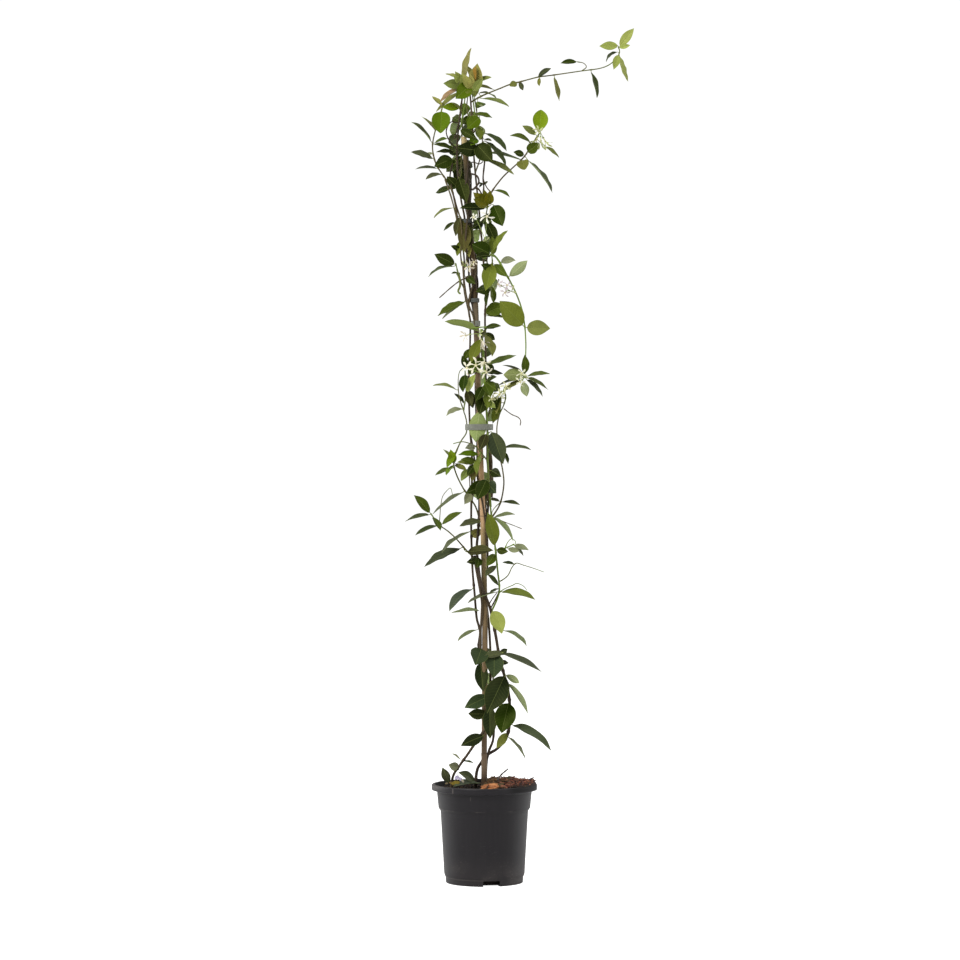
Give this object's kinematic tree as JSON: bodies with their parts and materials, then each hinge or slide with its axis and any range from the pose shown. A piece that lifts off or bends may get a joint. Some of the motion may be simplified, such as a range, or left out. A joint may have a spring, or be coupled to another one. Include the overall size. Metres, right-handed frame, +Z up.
{
  "type": "potted star jasmine",
  "caption": "Climbing plant with twining stems, glossy pointed leaves and small pinwheel flowers, tied to an upright cane in a round tapered nursery pot.",
  "frame": {"origin": "on the pot's axis, at the underside of its foot", "axes": "+Z up along the cane, -Y towards the front, +X to the right, where the long top shoot reaches"},
  "size_m": [0.367, 0.169, 1.364],
  "materials": {
    "pot_plastic": "satin black moulded plastic",
    "peat": "matte dark peat",
    "bark": "matte red-brown bark",
    "orange_bark": "matte orange-tan bark",
    "dry_twig": "matte dry wood",
    "bamboo": "satin bamboo",
    "tie_grey": "satin grey plastic strap",
    "tie_dark": "satin dark plastic strap",
    "woody_stem": "matte brown bark on thin stems, with glossy green leaves",
    "green_runner": "satin green stem with glossy leaves",
    "leaf": "glossy leathery leaf, paler beneath",
    "young_leaf": "glossy young leaf, light green",
    "bronze_leaf": "glossy young leaf, bronze green",
    "petal": "soft matte cream-white petal"
  },
  "bodies": {
    "root": {"nursery_pot": "pot_plastic", "potting_soil": "peat", "bark_mulch": "bark", "bark_chip": "orange_bark", "dry_twig": "dry_twig", "bamboo_cane": "bamboo", "tie_broad": "tie_grey", "tie_grey": "tie_grey", "tie_dark_low": "tie_dark", "tie_dark_high": "tie_dark", "woody_stem_left": "woody_stem", "woody_stem_right": "woody_stem", "woody_stem_middle": "woody_stem", "green_runner": "green_runner", "low_right_sprig": "leaf", "low_right_tendril": "leaf", "low_left_spray": "leaf", "right_climber": "leaf", "left_climber": "leaf", "front_sprig": "leaf", "right_arch": "young_leaf", "front_tuft": "leaf", "left_sprig": "leaf", "high_front_tuft": "leaf", "upper_right_shoot": "leaf", "upper_middle_shoot": "leaf", "left_top_spray": "leaf", "left_crown_shoot": "bronze_leaf", "right_crown_shoot": "bronze_leaf", "top_whip": "young_leaf", "back_shoot_low": "leaf", "back_shoot_lower_middle": "leaf", "back_shoot_middle": "leaf", "back_shoot_upper_middle": "leaf", "back_shoot_high": "leaf", "back_shoot_crown": "young_leaf", "bloom_cluster_middle": "petal", "bloom_pair_right": "petal", "bloom_drop_right": "petal", "bloom_arch": "petal", "bloom_front": "petal", "bloom_tuft": "petal", "bloom_left": "petal", "bloom_top_right": "petal"}
  },
  "joints": []
}
